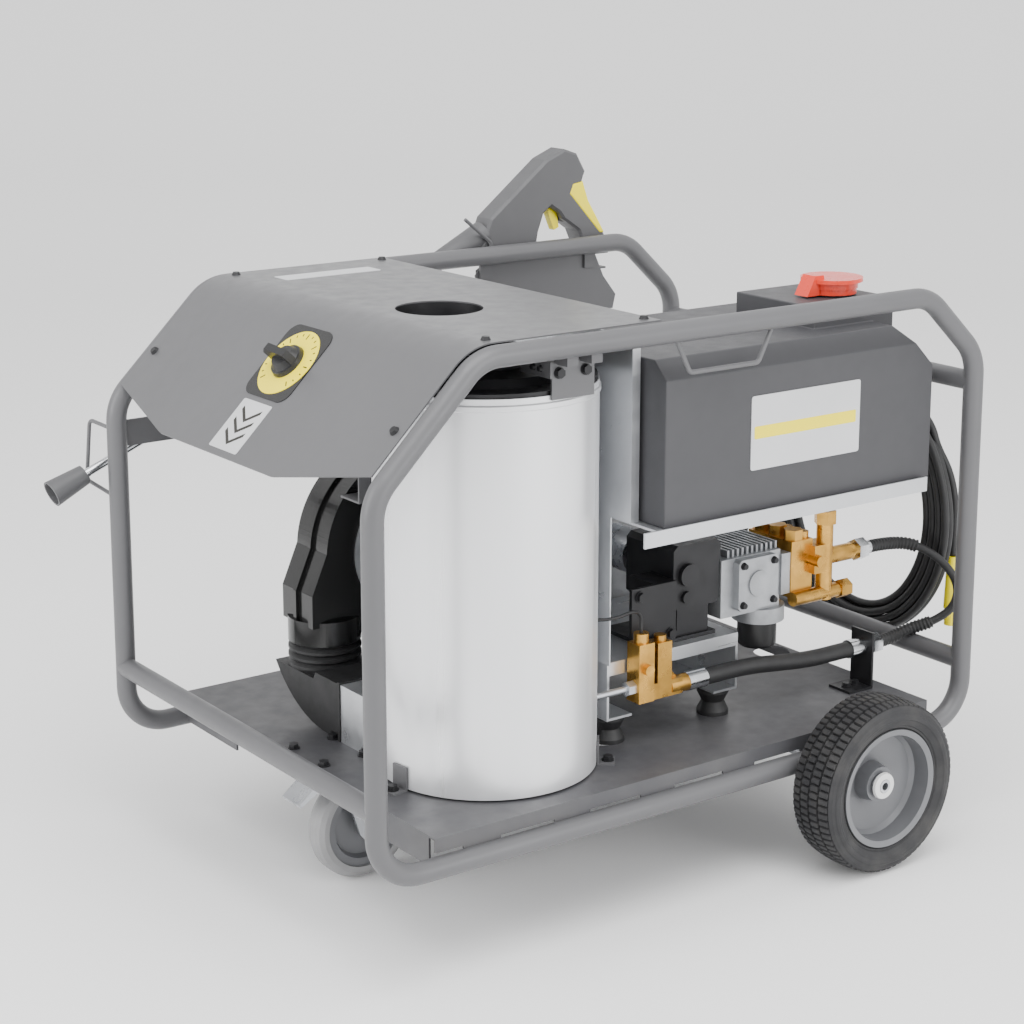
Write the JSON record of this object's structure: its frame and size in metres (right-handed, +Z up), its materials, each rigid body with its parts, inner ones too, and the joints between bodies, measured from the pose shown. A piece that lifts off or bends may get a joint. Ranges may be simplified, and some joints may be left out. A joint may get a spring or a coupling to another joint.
{
  "type": "engine-driven hot-water pressure washer",
  "caption": "Mobile hot-water pressure washer in a tube cage: round water heater, tank, engine and pump on a deck with wheels and a caster, spray gun and hung hose.",
  "frame": {"origin": "on the floor under the middle of the machine", "axes": "+X towards the two big wheels, -Y towards the pump side, +Z up"},
  "size_m": [1.2663, 0.914, 0.99],
  "materials": {
    "frame_paint": "satin",
    "hood_paint": "satin",
    "deck_paint": "satin",
    "jacket_steel": "brushed",
    "sheet_steel": "brushed",
    "bright_steel": "polished",
    "dark_steel": "satin",
    "coil_steel": "matte",
    "cast_aluminium": "cast",
    "brass": "satin",
    "tank_plastic": "matte",
    "gun_plastic": "matte",
    "black_plastic": "matte",
    "yellow_plastic": "matte",
    "red_plastic": "gloss",
    "rim_paint": "satin",
    "black_rubber": "matte",
    "tyre_rubber": "matte",
    "caster_rubber": "matte"
  },
  "bodies": {
    "machine": {"near_side_loop": "frame_paint", "far_side_loop": "frame_paint", "frame_crossbars": "frame_paint", "frame_hooks": "frame_paint", "deck": "deck_paint", "hood": "hood_paint", "dial_plate": "black_plastic", "thermostat_body": "black_plastic", "drum_jacket": "jacket_steel", "drum_lid": "dark_steel", "flue_collar": "bright_steel", "heating_coil": "coil_steel", "steel_brackets": "frame_paint", "fasteners": "dark_steel", "air_box": "sheet_steel", "air_boot": "black_rubber", "blower_near_shell": "black_plastic", "blower_far_shell": "black_plastic", "blower_motor": "cast_aluminium", "tank": "tank_plastic", "tank_tray": "sheet_steel", "bulkhead_panel": "sheet_steel", "engine_platform": "sheet_steel", "rubber_mounts": "black_rubber", "engine_block": "cast_aluminium", "pump_gearbox": "dark_steel", "pump_crankcase": "cast_aluminium", "pump_head": "brass", "filter_cup": "black_plastic", "hose_bracket": "dark_steel", "hose_fittings": "bright_steel", "feed_hose": "black_rubber", "pump_hose": "black_rubber", "flow_valve": "brass", "drum_pipe": "bright_steel", "sensor_cable": "black_rubber", "hose_outlet": "brass", "hose_ends": "black_rubber", "hose_coil": "black_rubber", "hose_guard": "yellow_plastic", "gun_holder": "frame_paint", "axle": "bright_steel", "caster_plate": "bright_steel"},
    "near_wheel": {"near_rim": "rim_paint", "near_tyre": "tyre_rubber"},
    "far_wheel": {"far_rim": "rim_paint", "far_tyre": "tyre_rubber"},
    "caster_swivel": {"caster_fork": "bright_steel"},
    "caster_roller": {"caster_wheel": "rim_paint", "caster_tyre": "caster_rubber"},
    "caster_brake": {"brake_pedal": "bright_steel"},
    "dial": {"dial_knob": "black_plastic"},
    "gun": {"gun_shell": "gun_plastic", "gun_grip": "yellow_plastic", "lance_tube": "bright_steel", "nozzle_guard": "gun_plastic"},
    "trigger": {"gun_trigger": "yellow_plastic"},
    "cap": {"filler_cap": "red_plastic"},
    "fan": {"blower_fan": "sheet_steel"},
    "shaft": {"drive_shaft": "coil_steel"}
  },
  "joints": [
    {"name": "near_wheel_spin", "type": "hinge", "parent": "machine", "child": "near_wheel", "pos_m": [0.29, -0.4145, 0.13], "axis": [0, 1, 0], "continuous": true},
    {"name": "far_wheel_spin", "type": "hinge", "parent": "machine", "child": "far_wheel", "pos_m": [0.29, 0.4145, 0.13], "axis": [0, 1, 0], "continuous": true},
    {"name": "caster_swivel_turn", "type": "hinge", "parent": "machine", "child": "caster_swivel", "pos_m": [-0.39, 0, 0.17], "axis": [0, 0, 1], "continuous": true},
    {"name": "caster_roll", "type": "hinge", "parent": "caster_swivel", "child": "caster_roller", "pos_m": [-0.34, 0, 0.08], "axis": [0, 1, 0], "continuous": true},
    {"name": "brake_press", "type": "hinge", "parent": "caster_swivel", "child": "caster_brake", "pos_m": [-0.414, 0, 0.166], "axis": [0, -1, 0], "range_deg": [0, 12]},
    {"name": "dial_turn", "type": "hinge", "parent": "machine", "child": "dial", "pos_m": [-0.44747, -0.011, 0.77737], "axis": [-0.7027, 0, 0.7115], "range_deg": [0, 270]},
    {"name": "gun_lift", "type": "slide", "parent": "machine", "child": "gun", "axis": [0.9239, 0, 0.3827], "range_m": [0, 0.15]},
    {"name": "trigger_pull", "type": "hinge", "parent": "gun", "child": "trigger", "pos_m": [0.3, 0.405, 0.897], "axis": [0, -1, 0], "range_deg": [0, 12], "stiffness_Nm_per_rad": 0.3, "springref_deg": -11.46},
    {"name": "cap_turn", "type": "hinge", "parent": "machine", "child": "cap", "pos_m": [0.392, -0.19, 0.826], "axis": [0, 0, 1], "range_deg": [0, 90]},
    {"name": "fan_spin", "type": "hinge", "parent": "machine", "child": "fan", "pos_m": [-0.168, 0.15, 0.446], "axis": [0, 1, 0], "continuous": true},
    {"name": "shaft_spin", "type": "hinge", "parent": "machine", "child": "shaft", "pos_m": [0.125, 0.05, 0.425], "axis": [0, 1, 0], "continuous": true}
  ]
}
